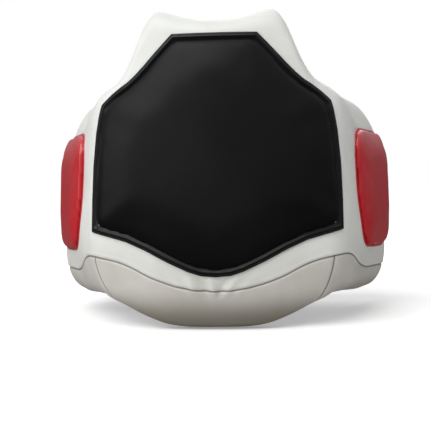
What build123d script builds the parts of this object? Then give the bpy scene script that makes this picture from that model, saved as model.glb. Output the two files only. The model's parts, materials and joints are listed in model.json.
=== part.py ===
from build123d import *
import os
from math import cos, radians, sin, sqrt

# Wrap-around chest protector, in millimetres.
# X runs across, +Y runs back from the front, Z is up. It stands on its bottom edge, and the
# origin is on the floor at the middle of its overall width and depth.
# Every upright wall leans back: a point at height z sits LEAN * z further along +Y.

# ---- driving dimensions: overall shape ----
LEAN = 0.17                   # backward lean of the whole shell, Y per Z
FRONT_Y = -161.5              # outer face at the middle of the front, at floor level
FRONT_RADIUS = 480.0          # plan radius of the front section's outer face
FRONT_ANGLE = 18.0            # half angle of that arc, degrees
CORNER_RADIUS = 46.0          # plan radius of the bend between front and wing
WING_ANGLE = 66.0             # heading of the straight wings, degrees from +X
FRONT_DEPTH = 60.0            # thickness of the front section
WING_DEPTH = 52.0             # thickness of a wing
WING_LENGTH = 226.0           # length of a wing at floor level
WING_HEIGHT = 325.0
NECK_HEIGHT = 405.0
HORN_HEIGHT = 430.0           # top of the shoulder horns, the full height
HORN_X = 80.0
ARMHOLE_FLOOR = 320.0
CORNER_LIFT = 20.0            # arch of the bottom edge at the bends

# ---- layers ----
SKIN = 1.5                    # coated fabric and lining
BELLY_ROUND = 40.0            # rounding of the front's lower outer edge
FACE_REACH = 0.3              # an edge this close to the outer face is on it
HARD_FOAM = 24.0              # outer, firm sheet of the front section
JOINT_GAP = 0.6               # air between the front section and a wing
OUTER_ROUND = 28.0            # rounding of a wing's outer long edges
INNER_ROUND = 10.0            # and of its inner ones

# ---- bottom gusset ----
SEAM_CENTER = 41.0            # height of the gusset seam at the middle of the front
SEAM_CORNER = 80.0            # and at the bends
SEAM_REAR = 62.0              # and along the wings

# ---- front target ----
TARGET_TOP = (58.0, 387.0)
TARGET_SHOULDER = (160.0, 296.0)
TARGET_WAIST = (169.0, 124.0)
TARGET_TIP = 68.0
BORDER_WIDTH = 13.0
BORDER_DEPTH = 3.0
TARGET_DEPTH = 14.0

# ---- side targets, measured along the wing from the bend ----
SIDE_TARGET_START = 24.0
SIDE_TARGET_END = 204.0
SIDE_TARGET_BOTTOM = 90.0
SIDE_TARGET_TOP = 268.0
SIDE_TARGET_CORNER = 30.0
SIDE_BORDER_WIDTH = 8.0
SIDE_TARGET_DEPTH = 14.0

# ---- harness ----
STRAP_WIDTH = 38.0
WEBBING = 2.5
STRAP_LENGTH = 280.0
STRAP_TOP = 400.0
PATCH_DEPTH = 1.5
PATCH_LENGTH = 100.0
ANCHOR_HEIGHT = 50.0
CLEARANCE = 0.5
RING_WIDTH = 46.0
RING_HEIGHT = 28.0
RING_BAR = 4.0
TAB_WIDTH = 34.0
TAB_STRIP = 30.0
TAB_LOOP = 5.2
TAB_HOLE = 3.3
TAB_STANDOFF = 0.3            # keeps the tab's loop off the leaning lining
RING_ALONG = 178.0
RING_AXIS_HEIGHT = 262.0
BELT_WIDTH = 50.0
BELT_LENGTH = 184.0
BELT_HEIGHT = 115.0
BELT_ALONG = 246.0
BELT_ANCHOR_LENGTH = 36.0

# ---- worked-out geometry ----
LEAN_DIR = (0, LEAN, 1)
LEAN_SCALE = sqrt(1 + LEAN * LEAN)
TALL = HORN_HEIGHT + 40
DEEP = 500.0

front_turn = radians(FRONT_ANGLE)
wing_turn = radians(WING_ANGLE)
corner_x = (FRONT_RADIUS - CORNER_RADIUS) * sin(front_turn)
front_center_y = FRONT_Y + FRONT_RADIUS
corner_y = front_center_y - (FRONT_RADIUS - CORNER_RADIUS) * cos(front_turn)
bend_x = corner_x + CORNER_RADIUS * sin(wing_turn)
bend_y = corner_y - CORNER_RADIUS * cos(wing_turn)
WING_LEAN_IN = LEAN * cos(wing_turn)      # lean measured across a wing
REACH = 3 * WING_LENGTH                   # longer than any wing section needs
WING_LEAN_BACK = LEAN * sin(wing_turn)    # lean measured along a wing


def on_arc(center_x, center_y, radius, angle):
    """Point of a plan arc; the angle is 0 straight ahead, along -Y."""
    return (center_x + radius * sin(angle), center_y - radius * cos(angle))


def mirrored(point, side):
    """Swap a plan or elevation point to the given side, +1 right or -1 left."""
    return (side * point[0], point[1])


def inner_end(depth):
    """Where the plan line at this depth meets the split plane at the right bend."""
    low, high = 0.0, 2 * FRONT_DEPTH
    for _ in range(50):
        run = (low + high) / 2
        x = bend_x - run * sin(wing_turn)
        y = bend_y + run * cos(wing_turn)
        if sqrt(x * x + (y - front_center_y) ** 2) > FRONT_RADIUS - depth:
            low = run
        else:
            high = run
    return (x, y)


def rim(depth):
    """Draw the plan line of the front section at this depth, left to right, and return its ends."""
    middle = (0, FRONT_Y + depth)
    if depth < CORNER_RADIUS - 1:
        joint = on_arc(0, front_center_y, FRONT_RADIUS - depth, front_turn)
        bend = on_arc(corner_x, corner_y, CORNER_RADIUS - depth, (front_turn + wing_turn) / 2)
        end = on_arc(corner_x, corner_y, CORNER_RADIUS - depth, wing_turn)
        ThreePointArc(mirrored(joint, -1), middle, joint)
        for side in (-1, 1):
            ThreePointArc(mirrored(joint, side), mirrored(bend, side), mirrored(end, side))
    else:
        end = inner_end(depth)
        ThreePointArc(mirrored(end, -1), middle, end)
    return end


def front_slab(outer, inner, mode=Mode.ADD):
    """Sketch the plan of the front section between two depths, and extrude it up the lean."""
    with BuildSketch(Plane.XY.offset(-1)) as profile:
        with BuildLine():
            near = rim(outer)
            far = rim(inner)
            for side in (-1, 1):
                Line(mirrored(near, side), mirrored(far, side))
        make_face()
    extrude(profile.sketch, amount=(TALL + 1) * LEAN_SCALE, dir=LEAN_DIR, mode=mode)


def front_outline():
    """Draw the elevation of the front section: neck, horns, armholes and arched bottom."""
    for side in (-1, 1):
        neck = mirrored((46, NECK_HEIGHT + 5), side)
        inner_horn = mirrored((66, HORN_HEIGHT - 6), side)
        horn = mirrored((HORN_X + 2, HORN_HEIGHT), side)
        outer_horn = mirrored((98, HORN_HEIGHT - 14), side)
        arm = mirrored((114, 364), side)
        floor = mirrored((150, ARMHOLE_FLOOR), side)
        ThreePointArc((0, NECK_HEIGHT), mirrored((24, NECK_HEIGHT + 1), side), neck)
        Line(neck, inner_horn)
        ThreePointArc(inner_horn, horn, outer_horn)
        ThreePointArc(outer_horn, arm, floor)
        Line(floor, mirrored((240, ARMHOLE_FLOOR), side))
        Line(mirrored((240, ARMHOLE_FLOOR), side), mirrored((240, CORNER_LIFT), side))
        Line(mirrored((240, CORNER_LIFT), side), mirrored((bend_x, CORNER_LIFT), side))
        ThreePointArc(mirrored((bend_x, CORNER_LIFT), side), mirrored((120, 7), side), mirrored((70, 0), side))
        Line(mirrored((70, 0), side), (0, 0))


def trim_front(inset=0.0):
    """Keep what lies inside the front elevation, drawn in by the inset."""
    with BuildSketch(Plane.XZ) as profile:
        with BuildLine():
            front_outline()
        make_face()
        if inset > 0:
            offset(amount=-inset)
    extrude(profile.sketch, amount=-DEEP, both=True, mode=Mode.INTERSECT)


def outer_face_y(x, height, depth):
    """How far back the front section's face at this depth lies, left or right of the middle."""
    x = abs(x)
    if x < corner_x:
        return front_center_y - sqrt((FRONT_RADIUS - depth) ** 2 - x * x) + LEAN * height
    run = max((CORNER_RADIUS - depth) ** 2 - (x - corner_x) ** 2, 0)
    return corner_y - sqrt(run) + LEAN * height


def round_belly(front, depth):
    """Round the lower edges of the outer face."""
    low = []
    for edge in front.edges():
        middle = edge.position_at(0.5)
        rise = abs(edge.position_at(0).Z - edge.position_at(1).Z)
        on_face = abs(middle.Y - outer_face_y(middle.X, middle.Z, depth)) < FACE_REACH
        if on_face and middle.Z < CORNER_LIFT + depth + 1 and rise < 2 * CORNER_LIFT:
            low.append(edge)
    fillet(low, BELLY_ROUND - depth)


def seam_band(mode):
    """Cut the front section with the region under the gusset seam."""
    with BuildSketch(Plane.XZ) as profile:
        with BuildLine():
            left = (-bend_x, SEAM_CORNER)
            right = (bend_x, SEAM_CORNER)
            ThreePointArc(left, (0, SEAM_CENTER), right)
            Polyline(right, (240, SEAM_CORNER), (240, -20), (-240, -20), (-240, SEAM_CORNER), left)
        make_face()
    extrude(profile.sketch, amount=-DEEP, both=True, mode=mode)


os.makedirs("parts", exist_ok=True)

# ---- front section: foam, lining, cover and gusset ----
with BuildPart() as front_inside:
    front_slab(SKIN, FRONT_DEPTH - SKIN)
    trim_front(SKIN)
    round_belly(front_inside, SKIN)

with BuildPart() as front_foam_outer:
    add(front_inside.part)
    front_slab(0, HARD_FOAM, mode=Mode.INTERSECT)
front_foam_outer.part.label = "front_foam_outer"
export_step(front_foam_outer.part, "parts/front_foam_outer.step")

with BuildPart() as front_foam_inner:
    add(front_inside.part)
    front_slab(HARD_FOAM, FRONT_DEPTH, mode=Mode.INTERSECT)
front_foam_inner.part.label = "front_foam_inner"
export_step(front_foam_inner.part, "parts/front_foam_inner.step")

with BuildPart() as front_lining:
    front_slab(FRONT_DEPTH - SKIN, FRONT_DEPTH)
    trim_front(SKIN)
front_lining.part.label = "front_lining"
export_step(front_lining.part, "parts/front_lining.step")

with BuildPart() as front_skin:
    front_slab(0, FRONT_DEPTH)
    trim_front()
    round_belly(front_skin, 0)
    add(front_inside.part, mode=Mode.SUBTRACT)
    add(front_lining.part, mode=Mode.SUBTRACT)

with BuildPart() as front_cover:
    add(front_skin.part)
    seam_band(Mode.SUBTRACT)
front_cover.part.label = "front_cover"
export_step(front_cover.part, "parts/front_cover.step")

with BuildPart() as bottom_gusset_center:
    add(front_skin.part)
    seam_band(Mode.INTERSECT)
bottom_gusset_center.part.label = "bottom_gusset_center"
export_step(bottom_gusset_center.part, "parts/bottom_gusset_center.step")


# ---- front target: sewn border, pillow foam and its cover ----
def trim_target(inset):
    """Keep what lies inside the eight-sided target outline, drawn in by the inset."""
    with BuildSketch(Plane.XZ) as profile:
        with BuildLine():
            Line((-TARGET_TOP[0], TARGET_TOP[1]), TARGET_TOP)
            for side in (-1, 1):
                top = mirrored(TARGET_TOP, side)
                shoulder = mirrored(TARGET_SHOULDER, side)
                waist = mirrored(TARGET_WAIST, side)
                hip = mirrored((96, 99), side)
                ThreePointArc(top, mirrored((104, 334), side), shoulder)
                Line(shoulder, waist)
                Line(waist, hip)
                ThreePointArc(hip, mirrored((52, 78), side), (0, TARGET_TIP))
        make_face()
        if inset > 0:
            offset(amount=-inset)
    extrude(profile.sketch, amount=-DEEP, both=True, mode=Mode.INTERSECT)


with BuildPart() as target_middle:
    front_slab(-TARGET_DEPTH - 1, 0)
    trim_target(BORDER_WIDTH)

with BuildPart() as front_target_border:
    front_slab(-BORDER_DEPTH, 0)
    trim_target(0)
    add(target_middle.part, mode=Mode.SUBTRACT)
front_target_border.part.label = "front_target_border"
export_step(front_target_border.part, "parts/front_target_border.step")

with BuildPart() as front_target_foam:
    front_slab(SKIN - TARGET_DEPTH, 0)
    trim_target(BORDER_WIDTH + SKIN)
front_target_foam.part.label = "front_target_foam"
export_step(front_target_foam.part, "parts/front_target_foam.step")

with BuildPart() as front_target_cover:
    front_slab(-TARGET_DEPTH, 0)
    trim_target(BORDER_WIDTH)
    add(front_target_foam.part, mode=Mode.SUBTRACT)
front_target_cover.part.label = "front_target_cover"
export_step(front_target_cover.part, "parts/front_target_cover.step")


# ---- wings ----
def across_wing(side, along=0.0):
    """Plane across a wing: local X runs inward through the padding, local Y is up."""
    inward = (-side * sin(wing_turn), cos(wing_turn), 0)
    forward = (side * cos(wing_turn), sin(wing_turn), 0)
    start = (side * (bend_x + along * cos(wing_turn)), bend_y + along * sin(wing_turn), 0)
    return Plane(origin=start, x_dir=inward, z_dir=tuple(side * value for value in forward))


def beside_wing(side):
    """Plane along a wing's outer face: local X runs back along the wing, local Y is up."""
    back = (side * cos(wing_turn), sin(wing_turn), 0)
    outward = (sin(wing_turn), -side * cos(wing_turn), 0)
    start = (side * bend_x, bend_y, 0)
    return Plane(origin=start, x_dir=back, z_dir=outward)


def leaning_slab(side, outer, inner, mode=Mode.ADD):
    """Slab between two depths of a wing, leaning with its faces, longer than the wing."""
    with BuildSketch(across_wing(side)) as profile:
        with BuildLine():
            tilt = WING_LEAN_IN * TALL
            Polyline((outer, 0), (inner, 0), (inner + tilt, TALL), (outer + tilt, TALL), close=True)
        make_face()
    extrude(profile.sketch, amount=REACH, both=True, mode=mode)


def rounded_slab(side, inset=0.0):
    """The wing's whole leaning section with rounded long edges, drawn in by the inset."""
    low = inset
    high = WING_HEIGHT - inset
    near = inset
    far = WING_DEPTH - inset
    near_round = OUTER_ROUND - inset
    far_round = INNER_ROUND - inset
    with BuildSketch(across_wing(side)) as profile:
        with BuildLine():
            corners = [(near + WING_LEAN_IN * low, low), (far + WING_LEAN_IN * low, low),
                       (far + WING_LEAN_IN * high, high), (near + WING_LEAN_IN * high, high)]
            rounds = [near_round, far_round, far_round, near_round]
            FilletPolyline(*corners, radius=rounds, close=True)
        make_face()
    extrude(profile.sketch, amount=REACH, both=True)


def trim_wing(side, inset=0.0):
    """Keep what lies inside the wing's side elevation, drawn in by the inset."""
    with BuildSketch(beside_wing(side)) as profile:
        with BuildLine():
            start = (JOINT_GAP + WING_LEAN_BACK * CORNER_LIFT, CORNER_LIFT)
            heel = (WING_LENGTH, 0)
            back = (WING_LENGTH + WING_LEAN_BACK * WING_HEIGHT, WING_HEIGHT)
            top = (JOINT_GAP + WING_LEAN_BACK * WING_HEIGHT, WING_HEIGHT)
            FilletPolyline(start, (70, 0), heel, back, top, radius=[60, 42, 46])
            Line(top, start)
        make_face()
        if inset > 0:
            offset(amount=-inset)
    extrude(profile.sketch, amount=-DEEP, both=True, mode=Mode.INTERSECT)


def wing_seam_band(side, mode):
    """Cut a wing with the region under its gusset seam."""
    with BuildSketch(beside_wing(side)) as profile:
        with BuildLine():
            Polyline((-60, -20), (-60, SEAM_CORNER), (WING_LEAN_BACK * SEAM_CORNER, SEAM_CORNER),
                     (90, SEAM_REAR), (REACH, SEAM_REAR), (REACH, -20), close=True)
        make_face()
    extrude(profile.sketch, amount=-DEEP, both=True, mode=mode)


def side_target_outline(side, inset, mode=Mode.INTERSECT):
    """Rounded, leaning square of a side target, drawn in by the inset."""
    bottom_shift = WING_LEAN_BACK * SIDE_TARGET_BOTTOM
    top_shift = WING_LEAN_BACK * SIDE_TARGET_TOP
    with BuildSketch(beside_wing(side)) as profile:
        with BuildLine():
            corners = [(SIDE_TARGET_START + bottom_shift, SIDE_TARGET_BOTTOM),
                       (SIDE_TARGET_END + bottom_shift, SIDE_TARGET_BOTTOM),
                       (SIDE_TARGET_END + top_shift, SIDE_TARGET_TOP),
                       (SIDE_TARGET_START + top_shift, SIDE_TARGET_TOP)]
            FilletPolyline(*corners, radius=SIDE_TARGET_CORNER, close=True)
        make_face()
        if inset > 0:
            offset(amount=-inset)
    extrude(profile.sketch, amount=-DEEP, both=True, mode=mode)


def wing_patch(side, start, end, low, high):
    """Keep a rectangle of a wing, seen from the side."""
    with BuildSketch(beside_wing(side)) as profile:
        with Locations(((start + end) / 2, (low + high) / 2)):
            Rectangle(end - start, high - low)
    extrude(profile.sketch, amount=-DEEP, both=True, mode=Mode.INTERSECT)


def lining_depth(height):
    """Depth of a wing's lined inner face at a height."""
    return WING_DEPTH + WING_LEAN_IN * height


def front_lining_y(x, height):
    """How far back the front section's lined inner face lies."""
    radius = FRONT_RADIUS - FRONT_DEPTH
    return front_center_y - sqrt(radius * radius - x * x) + LEAN * height


for name, side in (("left", -1), ("right", 1)):
    # padding, cover, gusset and lining of the wing
    with BuildPart() as wing_inside:
        rounded_slab(side, SKIN)
        trim_wing(side, SKIN)

    with BuildPart() as wing_foam:
        add(wing_inside.part)
    wing_foam.part.label = f"{name}_wing_foam"
    export_step(wing_foam.part, f"parts/{name}_wing_foam.step")

    with BuildPart() as wing_skin:
        rounded_slab(side)
        trim_wing(side)
        add(wing_inside.part, mode=Mode.SUBTRACT)

    with BuildPart() as wing_lining:
        add(wing_skin.part)
        leaning_slab(side, WING_DEPTH - SKIN, WING_DEPTH + 1, mode=Mode.INTERSECT)
        trim_wing(side, SKIN)
    wing_lining.part.label = f"{name}_wing_lining"
    export_step(wing_lining.part, f"parts/{name}_wing_lining.step")

    with BuildPart() as wing_cover:
        add(wing_skin.part)
        add(wing_lining.part, mode=Mode.SUBTRACT)
        wing_seam_band(side, Mode.SUBTRACT)
    wing_cover.part.label = f"{name}_wing_cover"
    export_step(wing_cover.part, f"parts/{name}_wing_cover.step")

    with BuildPart() as bottom_gusset:
        add(wing_skin.part)
        add(wing_lining.part, mode=Mode.SUBTRACT)
        wing_seam_band(side, Mode.INTERSECT)
    bottom_gusset.part.label = f"{name}_bottom_gusset"
    export_step(bottom_gusset.part, f"parts/{name}_bottom_gusset.step")

    # side target
    with BuildPart() as side_middle:
        leaning_slab(side, -SIDE_TARGET_DEPTH - 1, 0)
        side_target_outline(side, SIDE_BORDER_WIDTH)

    with BuildPart() as side_target_border:
        leaning_slab(side, -BORDER_DEPTH, 0)
        side_target_outline(side, 0)
        add(side_middle.part, mode=Mode.SUBTRACT)
    side_target_border.part.label = f"{name}_target_border"
    export_step(side_target_border.part, f"parts/{name}_target_border.step")

    with BuildPart() as side_target_foam:
        leaning_slab(side, SKIN - SIDE_TARGET_DEPTH, 0)
        side_target_outline(side, SIDE_BORDER_WIDTH + SKIN)
    side_target_foam.part.label = f"{name}_target_foam"
    export_step(side_target_foam.part, f"parts/{name}_target_foam.step")

    with BuildPart() as side_target_cover:
        leaning_slab(side, -SIDE_TARGET_DEPTH, 0)
        side_target_outline(side, SIDE_BORDER_WIDTH)
        add(side_target_foam.part, mode=Mode.SUBTRACT)
    side_target_cover.part.label = f"{name}_target_cover"
    export_step(side_target_cover.part, f"parts/{name}_target_cover.step")

    # webbing tab on the lining, and the strap ring that hangs in it
    loop_depth = lining_depth(RING_AXIS_HEIGHT) + TAB_LOOP + TAB_STANDOFF
    with BuildPart() as ring_tab:
        with BuildSketch(across_wing(side, RING_ALONG - TAB_WIDTH / 2)):
            with BuildLine():
                low = RING_AXIS_HEIGHT
                high = RING_AXIS_HEIGHT + TAB_STRIP
                Polyline((lining_depth(low), low), (lining_depth(low) + WEBBING, low),
                         (lining_depth(high) + WEBBING, high), (lining_depth(high), high), close=True)
            make_face()
            with Locations((loop_depth, RING_AXIS_HEIGHT)):
                Circle(TAB_LOOP)
                Circle(TAB_HOLE, mode=Mode.SUBTRACT)
        extrude(amount=side * TAB_WIDTH)
    ring_tab.part.label = f"{name}_ring_tab"
    export_step(ring_tab.part, f"parts/{name}_ring_tab.step")

    with BuildPart() as strap_ring:
        ring_plane = beside_wing(side).offset(-side * loop_depth)
        ring_middle = RING_AXIS_HEIGHT - RING_HEIGHT / 2
        with BuildSketch(ring_plane):
            with Locations((RING_ALONG, ring_middle)):
                RectangleRounded(RING_WIDTH + RING_BAR, RING_HEIGHT + RING_BAR, RING_BAR)
                Rectangle(RING_WIDTH - RING_BAR, RING_HEIGHT - RING_BAR, mode=Mode.SUBTRACT)
        extrude(amount=RING_BAR / 2, both=True)
        chamfer(strap_ring.edges().group_by(Axis.Z)[-1].filter_by(GeomType.LINE), RING_BAR / 8)
    strap_ring.part.label = f"{name}_strap_ring"
    export_step(strap_ring.part, f"parts/{name}_strap_ring.step")

    # waist belt: anchor on the lining, webbing and its hook-and-loop patch
    with BuildPart() as belt_anchor:
        leaning_slab(side, WING_DEPTH, WING_DEPTH + WEBBING)
        anchor_end = BELT_ALONG - 3 * WEBBING
        wing_patch(side, anchor_end - BELT_ANCHOR_LENGTH, anchor_end,
                   BELT_HEIGHT - BELT_WIDTH / 2, BELT_HEIGHT + BELT_WIDTH / 2)
    belt_anchor.part.label = f"{name}_belt_anchor"
    export_step(belt_anchor.part, f"parts/{name}_belt_anchor.step")

    belt_depth = lining_depth(BELT_HEIGHT + BELT_WIDTH / 2) + WEBBING + CLEARANCE
    belt_x = bend_x + BELT_ALONG * cos(wing_turn) - belt_depth * sin(wing_turn)
    belt_y = bend_y + BELT_ALONG * sin(wing_turn) + belt_depth * cos(wing_turn)
    print(name, "belt pivot", round(side * belt_x, 2), round(belt_y, 2), BELT_HEIGHT)
    belt_start = belt_x - WEBBING
    with BuildPart() as waist_belt:
        with BuildSketch(Plane.XZ.offset(-belt_y)):
            with Locations((side * (belt_start - BELT_LENGTH / 2), BELT_HEIGHT)):
                RectangleRounded(BELT_LENGTH, BELT_WIDTH, 2)
        extrude(amount=WEBBING / 2, both=True)
    waist_belt.part.label = f"{name}_waist_belt"
    export_step(waist_belt.part, f"parts/{name}_waist_belt.step")

    patch_x = belt_start - BELT_LENGTH + PATCH_LENGTH / 2 + 4
    with BuildPart() as belt_patch:
        with BuildSketch(Plane.XZ.offset(-belt_y - WEBBING / 2)):
            with Locations((side * patch_x, BELT_HEIGHT)):
                Rectangle(PATCH_LENGTH, BELT_WIDTH - 8)
        extrude(amount=-PATCH_DEPTH)
    belt_patch.part.label = f"{name}_belt_patch"
    export_step(belt_patch.part, f"parts/{name}_belt_patch.step")

    # shoulder strap: anchor inside the horn, webbing that hangs from it, hook and loop patches
    with BuildPart() as strap_anchor:
        front_slab(FRONT_DEPTH, FRONT_DEPTH + WEBBING)
        with BuildSketch(Plane.XZ):
            with Locations((side * HORN_X, STRAP_TOP - ANCHOR_HEIGHT / 2 - 4)):
                Rectangle(STRAP_WIDTH + 4, ANCHOR_HEIGHT)
        extrude(amount=-DEEP, both=True, mode=Mode.INTERSECT)
    strap_anchor.part.label = f"{name}_strap_anchor"
    export_step(strap_anchor.part, f"parts/{name}_strap_anchor.step")

    strap_y = front_lining_y(HORN_X + STRAP_WIDTH / 2, STRAP_TOP) + WEBBING * 1.5 + CLEARANCE
    print(name, "strap pivot", side * HORN_X, round(strap_y, 2), STRAP_TOP)
    strap_middle = STRAP_TOP - STRAP_LENGTH / 2
    with BuildPart() as shoulder_strap:
        with BuildSketch(Plane.XZ.offset(-strap_y)):
            with Locations((side * HORN_X, strap_middle)):
                RectangleRounded(STRAP_WIDTH, STRAP_LENGTH, 2)
        extrude(amount=WEBBING / 2, both=True)
    shoulder_strap.part.label = f"{name}_shoulder_strap"
    export_step(shoulder_strap.part, f"parts/{name}_shoulder_strap.step")

    strap_foot = STRAP_TOP - STRAP_LENGTH
    for patch, drop in (("hook", 4), ("loop", 12 + PATCH_LENGTH)):
        with BuildPart() as strap_patch:
            with BuildSketch(Plane.XZ.offset(-strap_y - WEBBING / 2)):
                with Locations((side * HORN_X, strap_foot + drop + PATCH_LENGTH / 2)):
                    Rectangle(STRAP_WIDTH - 8, PATCH_LENGTH)
            extrude(amount=-PATCH_DEPTH)
        strap_patch.part.label = f"{name}_strap_{patch}"
        export_step(strap_patch.part, f"parts/{name}_strap_{patch}.step")

print("bend", round(bend_x, 2), round(bend_y, 2))
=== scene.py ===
import json
from math import atan2, cos, pi, radians, sin, sqrt

import bpy
import numpy as np
from mathutils import Matrix, Vector

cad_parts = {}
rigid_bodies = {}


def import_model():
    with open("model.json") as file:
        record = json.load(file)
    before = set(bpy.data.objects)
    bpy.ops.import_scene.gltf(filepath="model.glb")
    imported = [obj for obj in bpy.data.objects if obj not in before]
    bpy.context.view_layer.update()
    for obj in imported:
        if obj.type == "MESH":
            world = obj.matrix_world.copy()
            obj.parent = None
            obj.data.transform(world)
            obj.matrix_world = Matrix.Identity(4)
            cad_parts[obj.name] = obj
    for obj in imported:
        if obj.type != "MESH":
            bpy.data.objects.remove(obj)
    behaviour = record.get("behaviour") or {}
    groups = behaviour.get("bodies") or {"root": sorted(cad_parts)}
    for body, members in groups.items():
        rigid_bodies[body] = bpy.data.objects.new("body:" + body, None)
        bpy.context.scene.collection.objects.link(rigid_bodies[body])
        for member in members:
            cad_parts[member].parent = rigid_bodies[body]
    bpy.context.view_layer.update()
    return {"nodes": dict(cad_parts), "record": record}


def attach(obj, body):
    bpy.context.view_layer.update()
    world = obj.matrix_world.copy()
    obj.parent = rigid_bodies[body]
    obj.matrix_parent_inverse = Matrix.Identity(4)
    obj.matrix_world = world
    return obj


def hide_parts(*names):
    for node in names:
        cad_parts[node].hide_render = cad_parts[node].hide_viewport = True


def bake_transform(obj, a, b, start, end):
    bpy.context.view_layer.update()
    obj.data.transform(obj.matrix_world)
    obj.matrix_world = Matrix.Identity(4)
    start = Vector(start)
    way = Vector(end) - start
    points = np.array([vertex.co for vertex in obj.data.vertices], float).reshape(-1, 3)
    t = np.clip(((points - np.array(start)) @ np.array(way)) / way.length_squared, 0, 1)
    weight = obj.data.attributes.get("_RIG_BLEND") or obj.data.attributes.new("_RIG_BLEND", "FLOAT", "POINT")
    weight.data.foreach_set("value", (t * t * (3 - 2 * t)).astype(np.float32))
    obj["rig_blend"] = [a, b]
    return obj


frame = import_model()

MM = 0.001

# ---- the pattern: distances along the outside from the middle of the front, in mm ----
LEAN = 0.17                   # the whole vest leans back going up
TALL = 1.0175                 # heights are drawn out by this much past the plain part's
FRONT_Y = -161.5
FRONT_RADIUS = 480.0
FRONT_TURN = radians(18)
BEND_RADIUS = 46.0
WING_TURN = radians(66)
WING_LENGTH = 226.0
FRONT_DEPTH = 60.0
WING_DEPTH = 52.0
FOLD = 25.0                   # rounding of the inside of the bend

front_y = FRONT_Y + FRONT_RADIUS
bend_x = (FRONT_RADIUS - BEND_RADIUS) * sin(FRONT_TURN)
bend_y = front_y - (FRONT_RADIUS - BEND_RADIUS) * cos(FRONT_TURN)
wing_x = bend_x + BEND_RADIUS * sin(WING_TURN)
wing_y = bend_y - BEND_RADIUS * cos(WING_TURN)
FRONT_END = FRONT_RADIUS * FRONT_TURN
WING_START = FRONT_END + BEND_RADIUS * (WING_TURN - FRONT_TURN)
WING_END = WING_START + WING_LENGTH


def outer_line(along):
    """Plan of the outside, for an array of distances right of the middle."""
    turn = np.minimum(along, FRONT_END) / FRONT_RADIUS
    x = FRONT_RADIUS * np.sin(turn)
    y = front_y - FRONT_RADIUS * np.cos(turn)
    turn = FRONT_TURN + np.clip(along - FRONT_END, 0, WING_START - FRONT_END) / BEND_RADIUS
    x = np.where(along > FRONT_END, bend_x + BEND_RADIUS * np.sin(turn), x)
    y = np.where(along > FRONT_END, bend_y - BEND_RADIUS * np.cos(turn), y)
    run = np.maximum(along - WING_START, 0)
    return x + run * cos(WING_TURN), y + run * sin(WING_TURN)


def wing_inside(run):
    """Plan of the inside of the right wing, this far from its start."""
    return (wing_x + run * cos(WING_TURN) - WING_DEPTH * sin(WING_TURN),
            wing_y + run * sin(WING_TURN) + WING_DEPTH * cos(WING_TURN))


def inside_meeting():
    """How far along the wing its inside meets the inside of the front."""
    low, high = -60.0, 60.0
    for _ in range(50):
        run = (low + high) / 2
        x, y = wing_inside(run)
        if x * x + (y - front_y) ** 2 > (FRONT_RADIUS - FRONT_DEPTH) ** 2:
            low = run
        else:
            high = run
    return run


meeting = inside_meeting()
corner = wing_inside(meeting)
inner_radius = FRONT_RADIUS - FRONT_DEPTH
inner_turn = atan2(corner[0], front_y - corner[1])
BEND_FROM, BEND_TO = 140.0, 205.0


def inner_line(along):
    """Plan of the inside, matched point by point with the outside."""
    turn = np.minimum(along / BEND_FROM, 1) * (inner_turn - FOLD / inner_radius)
    x = inner_radius * np.sin(turn)
    y = front_y - inner_radius * np.cos(turn)
    end = wing_inside(meeting + FOLD)
    t = np.clip((along - BEND_FROM) / (BEND_TO - BEND_FROM), 0, 1)
    x = (1 - t) ** 2 * x + 2 * t * (1 - t) * corner[0] + t * t * end[0]
    y = (1 - t) ** 2 * y + 2 * t * (1 - t) * corner[1] + t * t * end[1]
    t = np.clip((along - BEND_TO) / (WING_END - BEND_TO), 0, 1)
    last = wing_inside(WING_LENGTH)
    return x + t * (last[0] - end[0]), y + t * (last[1] - end[1])


def curve_of(*points, soft=5.0):
    """A smooth function of the distance from the middle, through about these points."""
    step = np.arange(-WING_END - 60, WING_END + 61)
    keys, values = zip(*points)
    line = np.interp(np.abs(step), keys, values)
    weight = np.exp(-0.5 * (np.arange(-30, 31) / soft) ** 2)
    padded = np.pad(line, 30, mode="edge")
    line = np.convolve(padded, weight / weight.sum(), mode="valid")
    return lambda along: np.interp(along, step, line)


top_height = curve_of((0, 416), (20, 417), (40, 420), (58, 425), (72, 430), (84, 433), (92, 431),
                      (100, 422), (105, 414), (110, 404), (114, 393), (119, 383), (124, 372),
                      (131, 360), (138, 350), (146, 341), (157, 334), (172, 329), (197, 326),
                      (249, 320), (319, 314), (369, 306), (415, 302), soft=3.0)
low_height = curve_of((0, 0), (50, 0), (80, 3), (100, 9), (118, 15), (135, 22), (154, 30), (190, 38),
                      (250, 36), (314, 30), (380, 30), (415, 32), soft=8.0)
seam_height = curve_of((0, 51), (24, 52), (41, 55), (62, 59), (100, 72), (112, 80), (140, 90),
                       (172, 95), (196, 96), (212, 93), (228, 86), (250, 76), (290, 67), (415, 62), soft=9.0)
belly_in = curve_of((0, 42), (190, 42), (240, 38), (415, 36))
belly_up = curve_of((0, 128), (120, 118), (180, 92), (240, 66), (415, 60), soft=12.0)
brow_in = curve_of((0, 20), (60, 22), (100, 24), (140, 30), (190, 36), (415, 36))
brow_down = curve_of((0, 22), (60, 26), (80, 30), (104, 36), (140, 42), (190, 58), (250, 92), (415, 100))
SWELL, SWELL_AT, SWELL_WIDE = 4.0, 208.0, 42.0     # the cover stands out a little round the bend
HIP, HIP_AT, HIP_WIDE, HIP_UP, HIP_TALL = 4.0, 250.0, 60.0, 120.0, 48.0     # and more low on the wing
INNER_IN, INNER_UP = 13.0, 16.0
REAR_REACH, REAR_TOP, REAR_LOW = 46.0, 56.0, 40.0
REAR_TOP_REACH = 84.0
REAR_SHUT = 8.0               # cover and lining close up over this last stretch of a wing
REAR_IN, REAR_OUT = 34.0, 13.0    # how far outside and inside draw together at its very end
BELLY_FULL = 1.9              # the lower rounding is a little fuller than a circle, which is 2
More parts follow.
